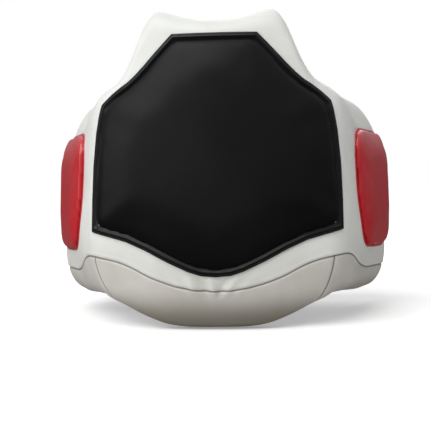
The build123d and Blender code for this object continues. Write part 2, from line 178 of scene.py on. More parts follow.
SWELL_DEPTH = 40.0            # the swelling fades out this far in from the outside
SEAM_RISE = 6.0               # least height of the gusset seam above the hem


def end_round(along, reach):
    """0 along the wing and 1 at its very end, as the side of a circle."""
    t = np.clip((along - (WING_END - reach)) / reach, 0, 1)
    return 1 - np.sqrt(1 - t * t)


def heights(along):
    low = low_height(along) + REAR_LOW * end_round(along, REAR_LOW)
    top = top_height(along) - REAR_TOP * end_round(along, REAR_TOP_REACH)
    return low, top


def swell(along, height):
    hip = HIP * np.exp(-((along - HIP_AT) / HIP_WIDE) ** 2 - ((height - HIP_UP) / HIP_TALL) ** 2)
    return hip + SWELL * np.exp(-((along - SWELL_AT) / SWELL_WIDE) ** 2)


def face_depth(along, height):
    """How far in from the plan line the outside face lies at this height."""
    low, top = heights(along)
    below = np.clip((low + belly_up(along) - height) / belly_up(along), 0, 1)
    above = np.clip((height - top + brow_down(along)) / brow_down(along), 0, 0.98)
    inward = belly_in(along) * (1 - np.sqrt(1 - below ** BELLY_FULL))
    inward = inward + brow_in(along) * (1 - np.sqrt(1 - above * above))
    return inward + REAR_IN * end_round(along, REAR_REACH) - swell(along, height)


def place(along, depth, height):
    """Points of the vest in metres, from pattern distances; left of the middle is negative."""
    side = np.where(along < 0, -1.0, 1.0)
    along = np.abs(along)
    height = height * TALL
    x, y = outer_line(along)
    inner_x, inner_y = inner_line(along)
    across = np.hypot(inner_x - x, inner_y - y)
    x = x + depth * (inner_x - x) / across
    y = y + depth * (inner_y - y) / across
    return np.stack([side * x, y + LEAN * height, height], axis=-1) * MM


def on_face(along, height, out):
    """Points this far out from the outside face, along its normal."""
    along, height, out = np.broadcast_arrays(along, height, out)

    def face(a, h):
        return place(a, face_depth(np.abs(a), h), h)
    at = face(along, height)
    across = face(along + 1.5, height) - face(along - 1.5, height)
    up = face(along, height + 1.5) - face(along, height - 1.5)
    normal = np.cross(across, up)
    normal /= np.linalg.norm(normal, axis=-1, keepdims=True)
    return at + normal * out[..., None] * MM


# ---- modelling helpers ----
def pick(*pieces):
    """Select only these pieces; the first is the active one."""
    bpy.ops.object.select_all(action="DESELECT")
    for piece in pieces:
        piece.select_set(True)
    bpy.context.view_layer.objects.active = pieces[0]


def named(name):
    piece = bpy.context.object
    piece.name = piece.data.name = name
    return piece


def points(piece):
    flat = np.empty(len(piece.data.vertices) * 3)
    piece.data.vertices.foreach_get("co", flat)
    return flat.reshape(-1, 3)


def move_to(piece, spots):
    piece.data.vertices.foreach_set("co", np.ascontiguousarray(spots).ravel())
    piece.data.update()


def edit(piece, select="SELECT"):
    """Enter edit mode with everything or nothing chosen, or, with None, what was chosen before."""
    pick(piece)
    bpy.ops.object.mode_set(mode="EDIT")
    if select:
        bpy.ops.mesh.select_all(action=select)


def done():
    bpy.ops.object.mode_set(mode="OBJECT")


def apply(piece, kind, **settings):
    pick(piece)
    bpy.ops.object.modifier_add(type=kind)
    modifier = piece.modifiers[-1]
    for key, value in settings.items():
        setattr(modifier, key, value)
    bpy.ops.object.modifier_apply(modifier=modifier.name)


def subdivide(piece):
    apply(piece, "SUBSURF", levels=1, render_levels=1)


def smooth(piece, angle=50):
    pick(piece)
    bpy.ops.object.shade_smooth_by_angle(angle=radians(angle))


def outward(piece):
    edit(piece)
    bpy.ops.mesh.normals_make_consistent(inside=False)
    done()


def puff(piece, held, pressure, reach, bend=0.5, calm=0, frames=20):
    """Let air swell a piece while the held points stay, no point moving further than reach; calm
    rounds of smoothing then ease the wrinkles."""
    start = points(piece)
    group = piece.vertex_groups.new(name="held")
    group.add([int(i) for i in np.nonzero(held)[0]], 1.0, "REPLACE")
    pick(piece)
    bpy.ops.object.modifier_add(type="CLOTH")
    cloth = piece.modifiers[-1]
    settings = cloth.settings
    settings.quality = 5
    settings.mass = 0.3
    settings.tension_stiffness = settings.compression_stiffness = 15
    settings.shear_stiffness = 5
    settings.bending_stiffness = bend
    settings.vertex_group_mass = "held"
    settings.effector_weights.gravity = 0
    settings.use_pressure = True
    settings.uniform_pressure_force = pressure
    cloth.point_cache.frame_start = 1
    cloth.point_cache.frame_end = frames
    for number in range(1, frames + 1):
        bpy.context.scene.frame_set(number)
    bpy.ops.object.modifier_apply(modifier=cloth.name)
    bpy.context.scene.frame_set(1)
    moved = points(piece) - start
    moved[~np.isfinite(moved).all(axis=1)] = 0
    length = np.linalg.norm(moved, axis=1, keepdims=True)
    move_to(piece, start + moved * np.minimum(1, reach / np.maximum(length, 1e-9)))
    if calm:
        apply(piece, "SMOOTH", factor=0.5, iterations=calm, vertex_group="held", invert_vertex_group=True)
    piece.vertex_groups.remove(piece.vertex_groups["held"])


# ---- camera ----
CAMERA_AT = (0.065, -1.2293, 0.201)
SENSOR_WIDTH, LENS = 36, 69
bpy.ops.object.camera_add(location=CAMERA_AT)
camera = named("camera")
camera.data.sensor_width = SENSOR_WIDTH
camera.data.lens = LENS
LOOK_AZ, LOOK_UP, ROLL = 0.0595, -0.043, -0.017
ahead = Vector((-sin(LOOK_AZ) * cos(LOOK_UP), cos(LOOK_AZ) * cos(LOOK_UP), sin(LOOK_UP)))
turn = ahead.to_track_quat("-Z", "Y").to_matrix() @ Matrix.Rotation(ROLL, 3, "Z")
camera.rotation_euler = turn.to_euler()
bpy.context.scene.camera = camera


# ---- materials ----
def grain_group():
    """Pebbled leather grain: a height, and a tone that varies slowly over the surface."""
    group = bpy.data.node_groups.new("leather grain", "ShaderNodeTree")
    for name, value in (("Size", 900.0), ("Crease", 26.0)):
        group.interface.new_socket(name, in_out="INPUT", socket_type="NodeSocketFloat").default_value = value
    for name in ("Height", "Tone"):
        group.interface.new_socket(name, in_out="OUTPUT", socket_type="NodeSocketFloat")
    nodes, link = group.nodes, group.links.new
    come, go = nodes.new("NodeGroupInput"), nodes.new("NodeGroupOutput")
    place_node = nodes.new("ShaderNodeTexCoord")
    pebble = nodes.new("ShaderNodeTexVoronoi")
    pebble.feature = "SMOOTH_F1"
    pebble.inputs["Smoothness"].default_value = 0.6
    fine = nodes.new("ShaderNodeTexNoise")
    fine.inputs["Detail"].default_value = 4
    slow = nodes.new("ShaderNodeTexNoise")
    slow.inputs["Detail"].default_value = 5
    slow.inputs["Distortion"].default_value = 0.4
    for node in (pebble, fine, slow):
        link(place_node.outputs["Object"], node.inputs["Vector"])
    link(come.outputs["Size"], pebble.inputs["Scale"])
    link(come.outputs["Size"], fine.inputs["Scale"])
    link(come.outputs["Crease"], slow.inputs["Scale"])
    mix = nodes.new("ShaderNodeMath")
    mix.operation = "MULTIPLY_ADD"
    mix.inputs[1].default_value = 0.6
    link(fine.outputs["Fac"], mix.inputs[0])
    link(pebble.outputs["Distance"], mix.inputs[2])
    link(mix.outputs[0], go.inputs["Height"])
    link(slow.outputs["Fac"], go.inputs["Tone"])
    return group


def weave_group():
    """Plain weave on the piece's own pattern map, in threads per metre."""
    group = bpy.data.node_groups.new("plain weave", "ShaderNodeTree")
    for name, value in (("Across", 900.0), ("Along", 900.0)):
        group.interface.new_socket(name, in_out="INPUT", socket_type="NodeSocketFloat").default_value = value
    group.interface.new_socket("Height", in_out="OUTPUT", socket_type="NodeSocketFloat")
    nodes, link = group.nodes, group.links.new
    come, go = nodes.new("NodeGroupInput"), nodes.new("NodeGroupOutput")
    spot = nodes.new("ShaderNodeTexCoord")
    parts = nodes.new("ShaderNodeSeparateXYZ")
    link(spot.outputs["UV"], parts.inputs[0])
    waves = []
    for axis, name in (("X", "Across"), ("Y", "Along")):
        scale = nodes.new("ShaderNodeMath")
        scale.operation = "MULTIPLY"
        link(parts.outputs[axis], scale.inputs[0])
        link(come.outputs[name], scale.inputs[1])
        wave = nodes.new("ShaderNodeMath")
        wave.operation = "SINE"
        link(scale.outputs[0], wave.inputs[0])
        waves.append(wave)
    both = nodes.new("ShaderNodeMath")
    both.operation = "MULTIPLY"
    link(waves[0].outputs[0], both.inputs[0])
    link(waves[1].outputs[0], both.inputs[1])
    half = nodes.new("ShaderNodeMath")
    half.operation = "MULTIPLY_ADD"
    half.inputs[1].default_value = half.inputs[2].default_value = 0.5
    link(both.outputs[0], half.inputs[0])
    link(half.outputs[0], go.inputs["Height"])
    return group


SEWN_DARK, SEWN_CLEAR = 0.5, 1.8     # a sewn line is dark this near, and gone this far off
GRAIN = grain_group()
WEAVE = weave_group()


def finish_of(name, roughness, specular=0.5, coat=0.0, coat_roughness=0.1, sheen=0.0, metallic=0.0):
    material = bpy.data.materials.new(name)
    material.use_nodes = True
    shader = material.node_tree.nodes["Principled BSDF"]
    for key, value in (("Roughness", roughness), ("Specular IOR Level", specular),
                       ("Coat Weight", coat), ("Coat Roughness", coat_roughness),
                       ("Sheen Weight", sheen), ("Metallic", metallic)):
        shader.inputs[key].default_value = value
    return material, shader


def ramp(nodes, link, source, stops):
    node = nodes.new("ShaderNodeValToRGB")
    for _ in range(len(stops) - 2):
        node.color_ramp.elements.new(0.5)
    for element, (at, color) in zip(node.color_ramp.elements, stops):
        element.position = at
        element.color = (*color, 1)
    link(source, node.inputs["Fac"])
    return node.outputs["Color"]


def bump(nodes, link, height, strength, distance, shader, below=None):
    node = nodes.new("ShaderNodeBump")
    node.inputs["Strength"].default_value = strength
    node.inputs["Distance"].default_value = distance
    link(height, node.inputs["Height"])
    if below is not None:
        link(below, node.inputs["Normal"])
    link(node.outputs["Normal"], shader.inputs["Normal"])
    return node.outputs["Normal"]


def tint(nodes, link, color, over, amount):
    """Lay a plain colour over another where the mask says."""
    mix = nodes.new("ShaderNodeMix")
    mix.data_type = "RGBA"
    link(amount, mix.inputs["Factor"])
    link(color, mix.inputs["A"])
    mix.inputs["B"].default_value = (*over, 1)
    return mix.outputs["Result"]


def leather(name, pale, deep, roughness, size=900.0, crease=26.0, grain=0.12, painted_low_shade=None, seam=None, **gloss):
    """Coated leather, with grain, a slow tone, duller creases and, where given, painted shade darkening it
    low down and a dark sewn line along the level seam, 0 on the pattern map, and along the upright seam."""
    material, shader = finish_of(name, roughness, **gloss)
    nodes, link = material.node_tree.nodes, material.node_tree.links.new
    skin = nodes.new("ShaderNodeGroup")
    skin.node_tree = GRAIN
    skin.inputs["Size"].default_value = size
    skin.inputs["Crease"].default_value = crease
    color = ramp(nodes, link, skin.outputs["Tone"], ((0.3, deep), (0.7, pale)))
    # painted shade: the colour is blended towards a dark tint by object height, strongest at the bottom,
    # standing in for the shade under the vest
    if painted_low_shade is not None:
        spot = nodes.new("ShaderNodeTexCoord")
        parts = nodes.new("ShaderNodeSeparateXYZ")
        link(spot.outputs["Object"], parts.inputs[0])
        height = nodes.new("ShaderNodeMapRange")
        height.interpolation_type = "SMOOTHERSTEP"
        height.inputs["From Min"].default_value = painted_low_shade[1]
        height.inputs["From Max"].default_value = painted_low_shade[2]
        height.inputs["To Min"].default_value = painted_low_shade[3]
        height.inputs["To Max"].default_value = 0
        link(parts.outputs["Z"], height.inputs["Value"])
        color = tint(nodes, link, color, painted_low_shade[0], height.outputs[0])
    if seam is not None:
        spot = nodes.new("ShaderNodeTexCoord")
        parts = nodes.new("ShaderNodeSeparateXYZ")
        link(spot.outputs["UV"], parts.inputs[0])
        level = nodes.new("ShaderNodeMath")
        level.operation = "ABSOLUTE"
        link(parts.outputs["Y"], level.inputs[0])
        beside = nodes.new("ShaderNodeAttribute")
        beside.attribute_name = "upright_seam"
        upright = nodes.new("ShaderNodeMath")
        upright.operation = "ABSOLUTE"
        link(beside.outputs["Fac"], upright.inputs[0])
        off = nodes.new("ShaderNodeMath")
        off.operation = "MINIMUM"
        link(level.outputs[0], off.inputs[0])
        link(upright.outputs[0], off.inputs[1])
        line = nodes.new("ShaderNodeMapRange")
        line.interpolation_type = "SMOOTHSTEP"
        line.inputs["From Min"].default_value = SEWN_DARK * MM
        line.inputs["From Max"].default_value = SEWN_CLEAR * MM
        line.inputs["To Min"].default_value = 0.85
        line.inputs["To Max"].default_value = 0
        link(off.outputs[0], line.inputs["Value"])
        color = tint(nodes, link, color, seam, line.outputs[0])
    link(color, shader.inputs["Base Color"])
    dull = nodes.new("ShaderNodeMapRange")
    dull.inputs["To Min"].default_value = roughness - 0.05
    dull.inputs["To Max"].default_value = roughness + 0.07
    link(skin.outputs["Tone"], dull.inputs["Value"])
    link(dull.outputs[0], shader.inputs["Roughness"])
    bump(nodes, link, skin.outputs["Height"], grain, 0.0004, shader)
    return material


def cloth(name, pale, deep, across, along, roughness=0.8, strength=0.6, sheen=0.2):
    """Woven cloth or webbing on the piece's own pattern map."""
    material, shader = finish_of(name, roughness, specular=0.25, sheen=sheen)
    nodes, link = material.node_tree.nodes, material.node_tree.links.new
    threads = nodes.new("ShaderNodeGroup")
    threads.node_tree = WEAVE
    threads.inputs["Across"].default_value = across
    threads.inputs["Along"].default_value = along
    color = ramp(nodes, link, threads.outputs["Height"], ((0.2, deep), (0.8, pale)))
    link(color, shader.inputs["Base Color"])
    bump(nodes, link, threads.outputs["Height"], strength, 0.0006, shader)
    return material


# painted shade: the white cover darkens towards a brownish grey below 0.17 m, by up to 0.35 at the hem, for
# the shade low on the vest
WHITE = leather("white coated leather", (0.775, 0.785, 0.755), (0.725, 0.73, 0.69), 0.42,
                painted_low_shade=((0.45, 0.42, 0.36), 0.03, 0.17, 0.35), seam=(0.16, 0.14, 0.12))
# painted shade: the gusset is the same white leather, its colour made darker and browner for the shade under
# the belly, and darkened by up to 0.9 more near the hem
GUSSET_WITH_PAINTED_SHADE = leather("gusset leather, painted shade", (0.60, 0.58, 0.535), (0.54, 0.515, 0.465), 0.40,
                 painted_low_shade=((0.17, 0.15, 0.115), 0.004, 0.064, 0.9), seam=(0.16, 0.14, 0.12))
BLACK = leather("black satin leather", (0.0048, 0.0045, 0.0052), (0.0030, 0.0028, 0.0034), 0.36, grain=0.15,
                size=1100.0, crease=9.0, specular=0.13)
PIPING = leather("black border leather", (0.0060, 0.0062, 0.0066), (0.0034, 0.0034, 0.0038), 0.30, grain=0.2,
                 size=1100.0, crease=9.0, specular=0.2)
RED = leather("red glossy leather", (0.50, 0.007, 0.014), (0.44, 0.006, 0.012), 0.30, crease=9.0, grain=0.06,
              coat=0.3, coat_roughness=0.22)
LINING = cloth("black woven lining", (0.030, 0.034, 0.040), (0.006, 0.007, 0.009), 2400.0, 2400.0)
WEBBING = cloth("black webbing", (0.028, 0.028, 0.031), (0.006, 0.006, 0.007), 3600.0, 1500.0, strength=0.9)
HOOKS = cloth("hook and loop", (0.035, 0.035, 0.038), (0.008, 0.008, 0.009), 5200.0, 5200.0,
              roughness=0.95, strength=1.0, sheen=0.5)
THREAD = cloth("black thread", (0.04, 0.04, 0.044), (0.008, 0.008, 0.009), 5000.0, 9000.0, strength=0.4)
STEEL, steel_shader = finish_of("ring wire", 0.24, metallic=1.0)
steel_nodes, steel_link = STEEL.node_tree.nodes, STEEL.node_tree.links.new
steel_grain = steel_nodes.new("ShaderNodeTexNoise")
steel_grain.inputs["Scale"].default_value = 240
steel_spot = steel_nodes.new("ShaderNodeTexCoord")
steel_link(steel_spot.outputs["Object"], steel_grain.inputs["Vector"])
steel_tone = ramp(steel_nodes, steel_link, steel_grain.outputs["Fac"],
                  ((0.35, (0.42, 0.42, 0.43)), (0.65, (0.62, 0.62, 0.63))))
steel_link(steel_tone, steel_shader.inputs["Base Color"])


def dress(piece, material):
    piece.data.materials.clear()
    piece.data.materials.append(material)


# ---- the white cover, gusset and lining: one skin, cut at its seams ----
GUSSET_ROWS, COVER_ROWS, LINING_ROWS = 26, 60, 40
ARC_POINTS, BELLY_POINTS = 24, 39     # points on each rounding of a section
UNDER_FRONT, UNDER_FRONT_LOW = 185, 0.06              # covered by the front target: along, height
UNDER_SIDE, UNDER_SIDE_TALL = (206, 397), (0.085, 0.272)      # and by a side target
UPRIGHT_SEAM = {-1: (178, 1.0), 1: (165, 0.6)}        # where the gusset's upright seams stand, and bow
# columns stand closest round the horns and the bend, and where a wing closes up
columns = np.unique(np.concatenate([
    [0, 2, 7], np.arange(12, 60, 6), np.arange(60, 132, 4), np.arange(132, 200, 3.2),
    np.arange(200, WING_END - 48, 7), np.linspace(WING_END - 46, WING_END - 10, 12),
    WING_END - REAR_SHUT * (1 - np.sin(np.linspace(0, pi / 2, 7)))]))


def section(along):
    """The closed outline of one vertical section as depths, heights and pattern distances, cut at
    the lower inner edge, the gusset seam and the upper inner edge."""
    a = np.array([along])
    low, top = (value[0] for value in heights(a))
    x, y = outer_line(a)
    inner_x, inner_y = inner_line(a)
    thick = float(np.hypot(inner_x - x, inner_y - y)[0])
    up, down = belly_up(a)[0], brow_down(a)[0]
    quarter = np.linspace(0, pi / 2, ARC_POINTS)
    under = belly_in(a)[0]
    over = brow_in(a)[0]
    room = top - low
    squeeze = min(1, room / (up + down + 1))     # low sections share what room there is
    up, down = up * squeeze, down * squeeze
    heights_up = low + up * np.linspace(0, 1, BELLY_POINTS + 1)[1:]
    t = (low + up - heights_up) / up
    parts = [
        (thick - INNER_IN * (1 - np.cos(quarter)), low + INNER_UP * (1 - np.sin(quarter))),
        (under * (1 - np.sqrt(1 - t ** BELLY_FULL)), heights_up),
        (over * (1 - np.cos(quarter)), top - down + down * np.sin(quarter)),
        (thick - INNER_IN * (1 - np.sin(quarter)), top - INNER_UP * (1 - np.cos(quarter))),
    ]
    depth = np.concatenate([p[0] for p in parts] + [[parts[0][0][0]]])
    height = np.concatenate([p[1] for p in parts] + [[parts[0][1][0]]])
    run = np.concatenate([[0], np.cumsum(np.hypot(np.diff(depth), np.diff(height)))])
    lower = run[ARC_POINTS // 2]
    belly = slice(ARC_POINTS, ARC_POINTS + BELLY_POINTS)
    seam = np.interp(max(seam_height(a)[0], low + SEAM_RISE), height[belly], run[belly])
    upper = run[2 * ARC_POINTS + BELLY_POINTS + 2]
    whole = run[-1]
    rows = np.concatenate([
        seam - (seam - lower) * np.linspace(1, 0, GUSSET_ROWS + 1)[:-1] ** 1.3,
        seam + (upper - seam) * np.linspace(0, 1, COVER_ROWS + 1)[:-1] ** 1.25,
        np.linspace(upper, whole + lower, LINING_ROWS + 1)])
    wrapped = rows % whole
    k = end_round(a, REAR_REACH)[0]
    depth = np.interp(wrapped, run, depth)
    shrink = (thick - REAR_OUT * k - REAR_IN * k) / thick
    height = np.interp(wrapped, run, height)
    puffed = swell(a, height) * np.clip(1 - depth / SWELL_DEPTH, 0, 1)
    depth = REAR_IN * k + depth * shrink - puffed
    middle = REAR_IN * k + thick * shrink / 2
    shut = sqrt(1 - max(0.0, (along - WING_END + REAR_SHUT) / REAR_SHUT) ** 2)
    return middle + (depth - middle) * shut, height, rows - seam


def build_skin():
    """The right half of the vest as one skin, swollen a little between its seams."""
    rows = GUSSET_ROWS + COVER_ROWS + LINING_ROWS
    bpy.ops.object.select_all(action="DESELECT")
    bpy.ops.mesh.primitive_grid_add(x_subdivisions=len(columns) - 1, y_subdivisions=rows, size=2)
    skin = named("skin")
    flat = points(skin)
    column = np.rint((flat[:, 0] + 1) / 2 * (len(columns) - 1)).astype(int)
    row = np.rint((flat[:, 1] + 1) / 2 * rows).astype(int)
    table = [section(along) for along in columns]
    depth = np.array([t[0] for t in table])[column, row]
    height = np.array([t[1] for t in table])[column, row]
    strip = np.array([t[2] for t in table])[column, row]
    along = columns[column]
    move_to(skin, place(along, depth, height))
    pattern = skin.data.uv_layers.active or skin.data.uv_layers.new(name="pattern")
    corners = np.empty(len(skin.data.loops), dtype=np.int32)
    skin.data.loops.foreach_get("vertex_index", corners)
    pattern.data.foreach_set("uv", (np.stack([along, strip], axis=1)[corners] * MM).ravel())
    kind = skin.data.attributes.new("panel", "INT", "FACE")
    middle_row = np.array([row[list(face.vertices)].min() for face in skin.data.polygons])
    panel = np.where(middle_row < GUSSET_ROWS, 0, np.where(middle_row < GUSSET_ROWS + COVER_ROWS, 1, 2))
    kind.data.foreach_set("value", panel.astype(np.int32))
    edit(skin)
    bpy.ops.mesh.remove_doubles(threshold=0.00002)
    done()
    edit(skin)
    bpy.ops.mesh.normals_make_consistent(inside=False)
    done()
    spots = points(skin)
    marks = pattern_of(skin)
    along, height = marks[:, 0], spots[:, 2]
    under_target = (along < UNDER_FRONT) & (height > UNDER_FRONT_LOW) & (marks[:, 1] > 0)
    under_side = (along > UNDER_SIDE[0]) & (along < UNDER_SIDE[1])
    under_side &= (height > UNDER_SIDE_TALL[0]) & (height < UNDER_SIDE_TALL[1])
    seam = np.abs(marks[:, 1]) < 1.2
    inside = marks[:, 1] > 400
    shut = along > WING_END - REAR_SHUT
    held = (along < 5) | shut | seam | inside | under_target | under_side
    puff(skin, held, 3.0, 0.004)
    subdivide(skin)
    return skin


def pattern_of(piece):
    """Each point's pattern distances in mm, along and up from the gusset seam."""
    layer = piece.data.uv_layers.active
    flat = np.empty(len(piece.data.loops) * 2)
    layer.data.foreach_get("uv", flat)
    corners = np.empty(len(piece.data.loops), dtype=np.int32)
    piece.data.loops.foreach_get("vertex_index", corners)
    marks = np.zeros((len(piece.data.vertices), 2))
    marks[corners] = flat.reshape(-1, 2) / MM
    return marks


def creases(along, height):
    """Soft drag lines below the target's tip and across the gusset, out in mm."""
    out = np.zeros_like(along)
    for at, slope, wide, deep in ((-34, 0.55, 6.0, 3.6), (-19, 0.5, 5.0, -3.4), (-5, 0.3, 5.0, 2.6),
                                  (9, -0.4, 5.0, -2.0), (22, -0.6, 5.5, 2.2), (-55, 0.8, 7.0, 2.0),
                                  (42, -0.8, 7.0, 1.4)):
        line = at - slope * (height - 60)
        out += deep * np.exp(-((along - line) / wide) ** 2) * np.exp(-((height - 58) / 13.0) ** 2)
    return out


def finish_skin(skin, side):
    """Sew the seams in, add the creases, and cut the skin into its panels."""
    marks = pattern_of(skin)
    spots = points(skin)
    normals = np.empty(len(skin.data.vertices) * 3)
    skin.data.vertices.foreach_get("normal", normals)
    normals = normals.reshape(-1, 3)
    along, strip = side * marks[:, 0], marks[:, 1]
    out = -1.7 * np.exp(-(strip / 1.6) ** 2) + 0.4 * np.exp(-((strip - 4.5) / 2.2) ** 2)
    stand, bow = UPRIGHT_SEAM[side]
    drift = stand - 0.004 * np.minimum(strip, 0) ** 2 * bow
    in_gusset = (strip < 1) & (strip > -110)
    out += np.where(in_gusset, -1.6 * np.exp(-((marks[:, 0] - drift) / 1.8) ** 2), 0)
    beside = skin.data.attributes.new("upright_seam", "FLOAT", "POINT")
    beside.data.foreach_set("value", np.where(in_gusset, marks[:, 0] - drift, 50).astype(np.float32) * MM)
    height = spots[:, 2] / MM
    out += np.where((strip > -40) & (strip < 60), creases(along, height), 0)
    move_to(skin, spots + normals * out[:, None] * MM)
    pieces = {}
    for number, name in ((0, "gusset"), (1, "cover"), (2, "lining")):
        pick(skin)
        bpy.ops.object.duplicate()
        piece = named(("left_" if side < 0 else "right_") + name)
        piece.data.attributes.active = piece.data.attributes["panel"]
        edit(piece, "DESELECT")
        done()
        for face, tag in zip(piece.data.polygons, piece.data.attributes["panel"].data):
            face.select = tag.value != number
        edit(piece, None)
        bpy.ops.mesh.select_mode(type="FACE")
        bpy.ops.mesh.delete(type="FACE")
        done()
        piece.data.attributes.remove(piece.data.attributes["panel"])
        pieces[name] = piece
    return pieces


axis_lean = Vector((0, LEAN, 1)).normalized()


def across_bend(side, run):
    """A point this far past the bend, on a line square to its axis."""
    ahead = Vector((side * cos(WING_TURN), sin(WING_TURN), 0))
    ahead -= axis_lean * ahead.dot(axis_lean)
    return Vector((side * wing_x, wing_y, 0)) * MM + ahead.normalized() * run * MM


right_skin = build_skin()
pick(right_skin)
bpy.ops.object.duplicate()
left_skin = named("left skin")
edit(left_skin)
bpy.ops.transform.resize(value=(-1, 1, 1), center_override=(0, 0, 0))
bpy.ops.mesh.normals_make_consistent(inside=False)
done()
panels = {}
for side, word, skin in ((1, "right", right_skin), (-1, "left", left_skin)):
    panels[side] = finish_skin(skin, side)
    bpy.data.objects.remove(skin)
    for name, material, slot, thick in (("gusset", GUSSET_WITH_PAINTED_SHADE, "white_leather", 1.4),
                                        ("cover", WHITE, "white_leather", 1.4),
                                        ("lining", LINING, "lining", 1.2)):
        piece = panels[side][name]
        apply(piece, "SOLIDIFY", thickness=thick * MM, offset=-1)
        dress(piece, material)
        smooth(piece, 45)
        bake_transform(piece, "front", word + "_wing", across_bend(side, -8), across_bend(side, 22))
    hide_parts(word + "_wing_cover", word + "_wing_foam")
    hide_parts(word + "_bottom_gusset")
    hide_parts(word + "_wing_lining")
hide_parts("front_cover", "front_foam_outer", "front_foam_inner")
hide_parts("bottom_gusset_center")
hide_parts("front_lining")


# ---- targets: a sewn border, and a pillow puffed up inside it ----
def inset(outline, distance):
    """Move a clockwise outline inwards, keeping its corners sharp."""
    moved = []
    for before, here, after in zip(outline[-1:] + outline[:-1], outline, outline[1:] + outline[:1]):
        first = Vector(here) - Vector(before)
        second = Vector(after) - Vector(here)
        normal_1 = Vector((first.y, -first.x)).normalized()
        normal_2 = Vector((second.y, -second.x)).normalized()
        both = normal_1 + normal_2
        moved.append(tuple(Vector(here) + both * distance / (1 + normal_1.dot(normal_2))))
    return moved


def walk(outline, pitch):
    """Points about this far apart round a closed outline, corners kept."""
    spots = []
    for here, after in zip(outline, outline[1:] + outline[:1]):
        count = max(1, round((Vector(after) - Vector(here)).length / pitch))
        spots += [Vector(here).lerp(Vector(after), i / count) for i in range(count)]
    return spots


def band(name, outline, profile, pitch=4.0):
    """A closed band round an outline; profile gives (inset, out) round its section."""
    counts = [max(1, round((Vector(b) - Vector(a)).length / pitch))
              for a, b in zip(outline, outline[1:] + outline[:1])]
    total = sum(counts)
    bpy.ops.object.select_all(action="DESELECT")
    bpy.ops.mesh.primitive_grid_add(x_subdivisions=total, y_subdivisions=len(profile), size=2)
    piece = named(name)
    flat = points(piece)
    around = np.rint((flat[:, 0] + 1) / 2 * total).astype(int) % total
    row = np.rint((flat[:, 1] + 1) / 2 * len(profile)).astype(int) % len(profile)
    lines = []
    for distance, _ in profile:
        ring = inset(outline, distance)
        line = []
        for here, after, count in zip(ring, ring[1:] + ring[:1], counts):
            line += [Vector(here).lerp(Vector(after), i / count) for i in range(count)]
        lines.append(line)
    table = np.array([[tuple(spot) for spot in line] for line in lines])
    spot = table[row, around]
    out = np.array([p[1] for p in profile])[row]
    move_to(piece, on_face(spot[:, 0], spot[:, 1], out))
    edit(piece)
    bpy.ops.mesh.remove_doubles(threshold=0.00001)
    bpy.ops.mesh.normals_make_consistent(inside=False)
    done()
    return piece


def pillow(name, outline, height, voxel, pressure, reach, edge, calm):
    """A flat pillow cut to the outline and puffed up, still to be laid on the outside of the vest."""
    bpy.ops.object.select_all(action="DESELECT")
    bpy.ops.mesh.primitive_circle_add(vertices=len(outline), radius=1, fill_type="NGON")
    piece = named(name)
    move_to(piece, np.array([(x * MM, 0, z * MM) for x, z in outline]))
    outward(piece)
    apply(piece, "SOLIDIFY", thickness=height * MM, offset=0)
    spots = points(piece)
    spots[:, 1] -= spots[:, 1].max()
    move_to(piece, spots)
    outward(piece)
    edit(piece, "DESELECT")
    bpy.ops.mesh.select_mode(type="EDGE")
    done()
    for rim in piece.data.edges:
        ends = [piece.data.vertices[i].co.y for i in rim.vertices]
        rim.select = max(ends) < -height * MM / 2
    edit(piece, None)
    bpy.ops.mesh.bevel(affect="EDGES", offset=edge * MM, segments=4)
    done()
    apply(piece, "REMESH", mode="VOXEL", voxel_size=voxel * MM)
    spots = points(piece)
    puff(piece, spots[:, 1] > -0.3 * height * MM, pressure, reach * MM, bend=2, calm=calm)
    subdivide(piece)
    return piece


def lay_on_face(piece, lift):
    """Wrap a flat piece, drawn facing -Y, on the outside of the vest."""
    spots = points(piece) / MM
    move_to(piece, on_face(spots[:, 0], spots[:, 2], lift - spots[:, 1]))


def stitches(name, outline, distance, out, pitch, long, thick, material):
    """A line of thread stitches this far inside an outline."""
    bpy.ops.object.select_all(action="DESELECT")
    bpy.ops.mesh.primitive_cylinder_add(vertices=6, radius=0.5, depth=1, end_fill_type="NGON")
    bpy.ops.object.mode_set(mode="EDIT")
    bpy.ops.mesh.bevel(offset=0.12, segments=1)
    done()
    one = named("one stitch")
    pattern = points(one)
    faces = [tuple(f.vertices) for f in one.data.polygons]
    bpy.data.objects.remove(one)
    spots = walk(inset(outline, distance), pitch)
    all_points, all_faces = [], []
    for here, after in zip(spots, spots[1:] + spots[:1]):
        ends = [on_face(np.array(p.x), np.array(p.y), np.array(out)) for p in (here, after)]
        away = on_face(np.array(here.x), np.array(here.y), np.array(out + 1.0)) - ends[0]
        run = (ends[1] - ends[0])
        reach = np.linalg.norm(run)
        if reach < 0.4 * pitch * MM:
            continue
        run /= reach
        away /= np.linalg.norm(away)
        beside = np.cross(run, away)
        middle = (ends[0] + ends[1]) / 2
        size = np.array([thick, thick * 0.8, min(long, reach / MM * 0.8)]) * MM
        start = len(all_points)
        for point in pattern:
            sink = 1.6 * thick * MM * (abs(point[2]) * 2) ** 4
            along_it = middle + run * point[2] * size[2] + beside * point[0] * size[0]
            all_points.append(along_it + away * (point[1] * size[1] - 0.25 * sink))
        all_faces += [tuple(i + start for i in face) for face in faces]
    mesh = bpy.data.meshes.new(name)
    mesh.from_pydata([tuple(p) for p in all_points], [], all_faces)
    piece = bpy.data.objects.new(name, mesh)
    bpy.context.scene.collection.objects.link(piece)
    layer = mesh.uv_layers.new(name="pattern")
    for loop in mesh.loops:
        layer.data[loop.index].uv = mesh.vertices[loop.vertex_index].co.xz
    outward(piece)
    dress(piece, material)
    return piece


